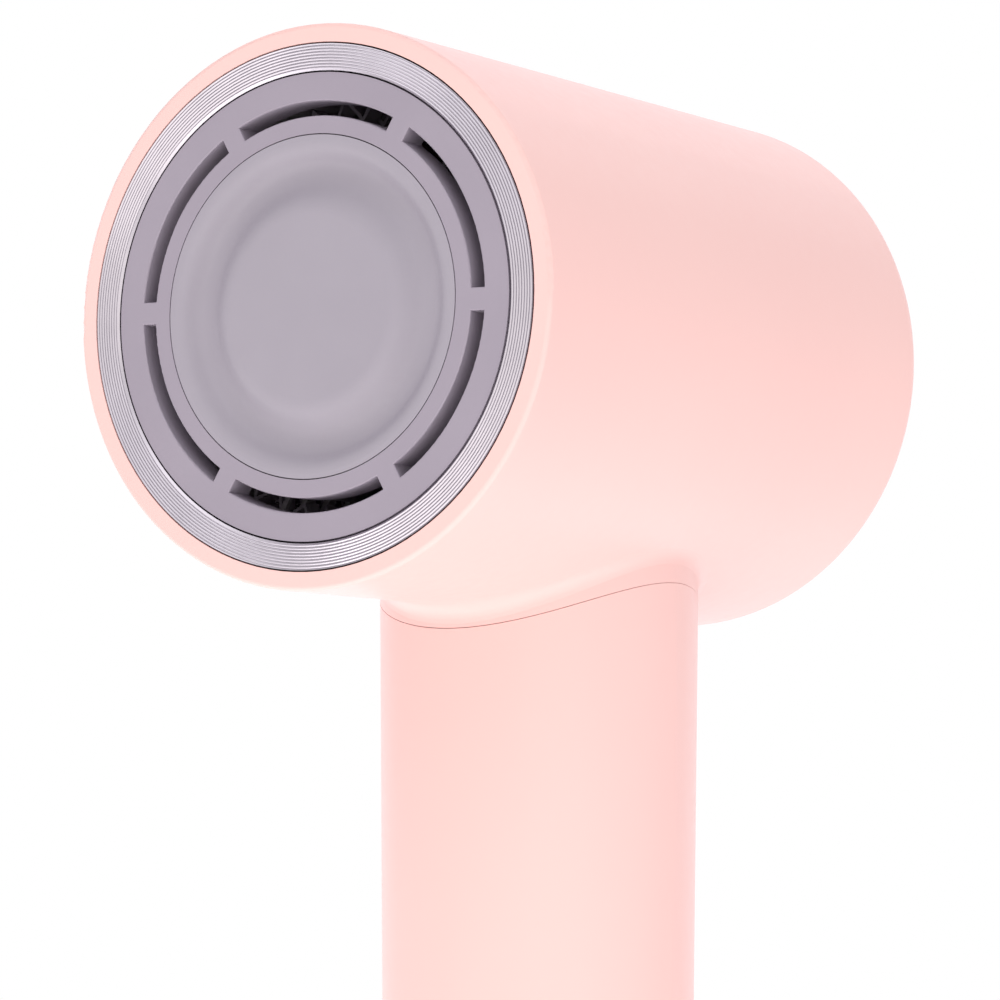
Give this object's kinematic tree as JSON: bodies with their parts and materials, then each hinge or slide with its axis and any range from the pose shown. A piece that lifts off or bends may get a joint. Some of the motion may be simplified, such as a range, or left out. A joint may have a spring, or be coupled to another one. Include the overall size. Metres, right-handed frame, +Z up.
{
  "type": "hair dryer",
  "caption": "Hair dryer with a straight round barrel on a tapered handle: slotted annular outlet with a grooved metal ring, fan motor in the handle, pull-off intake cover.",
  "frame": {"origin": "middle of the handle's base, on the plane of the base plate's foot", "axes": "+Z up the handle's axis, -Y the way the outlet blows, +X to the right seen from the front"},
  "size_m": [0.07, 0.095, 0.265],
  "materials": {
    "pink_satin": "satin, fine texture",
    "turned_aluminium": "turned, fine round grooves",
    "lilac_plastic": "fine matte",
    "dark_plastic": "matte",
    "clear_mica": "satin",
    "heater_alloy": "bright",
    "white_plastic": "matte",
    "soft_rubber": "matte",
    "motor_aluminium": "satin",
    "steel": "bright",
    "laminations": "satin",
    "magnet_black": "satin",
    "copper_wire": "enamelled",
    "board_green": "satin"
  },
  "bodies": {
    "dryer": {"barrel_shell": "pink_satin", "rear_cover": "pink_satin", "trim_ring": "turned_aluminium", "magnet_ring": "magnet_black", "outlet_grille": "lilac_plastic", "centre_cap": "lilac_plastic", "outlet_liner": "dark_plastic", "flow_core": "dark_plastic", "heat_shield": "clear_mica", "heater_fins": "clear_mica", "heater_ribbons": "heater_alloy", "thermostat": "steel", "thermal_fuse": "steel", "temperature_sensor": "dark_plastic", "air_deflector": "dark_plastic", "neck_duct": "dark_plastic", "neck_screws": "steel", "handle_shell": "pink_satin", "intake_frame": "dark_plastic", "frame_screws": "steel", "cord_gland": "soft_rubber", "damper_lower": "soft_rubber", "damper_upper": "soft_rubber", "motor_housing": "motor_aluminium", "diffuser": "motor_aluminium", "lower_bearing": "steel", "bearing_bracket": "motor_aluminium", "upper_bearing": "steel", "stator_core": "laminations", "stator_coils": "copper_wire", "motor_board": "board_green", "chassis": "dark_plastic", "driver_board": "board_green", "power_capacitor": "dark_plastic", "choke": "magnet_black", "power_chip": "dark_plastic", "heat_sink": "motor_aluminium", "control_board": "board_green", "slide_switch": "steel", "push_switch": "dark_plastic"},
    "rotor": {"rotor_shaft": "steel", "rotor_magnet": "magnet_black", "impeller": "motor_aluminium"},
    "slider": {"speed_slider": "lilac_plastic", "switch_lever": "white_plastic"},
    "button": {"heat_button": "lilac_plastic"},
    "intake": {"intake_cover": "pink_satin", "filter_mesh": "steel"}
  },
  "joints": [
    {"name": "rotor_spin", "type": "hinge", "parent": "dryer", "child": "rotor", "pos_m": [0, 0, 0.06], "axis": [0, 0, 1], "continuous": true},
    {"name": "speed_slide", "type": "slide", "parent": "dryer", "child": "slider", "axis": [0, 0, 1], "range_m": [0, 0.006]},
    {"name": "heat_press", "type": "slide", "parent": "dryer", "child": "button", "axis": [0, -1, 0], "range_m": [0, 0.001], "stiffness_N_per_m": 800},
    {"name": "intake_pull", "type": "slide", "parent": "dryer", "child": "intake", "axis": [0, 0, -1], "range_m": [0, 0.045]}
  ]
}
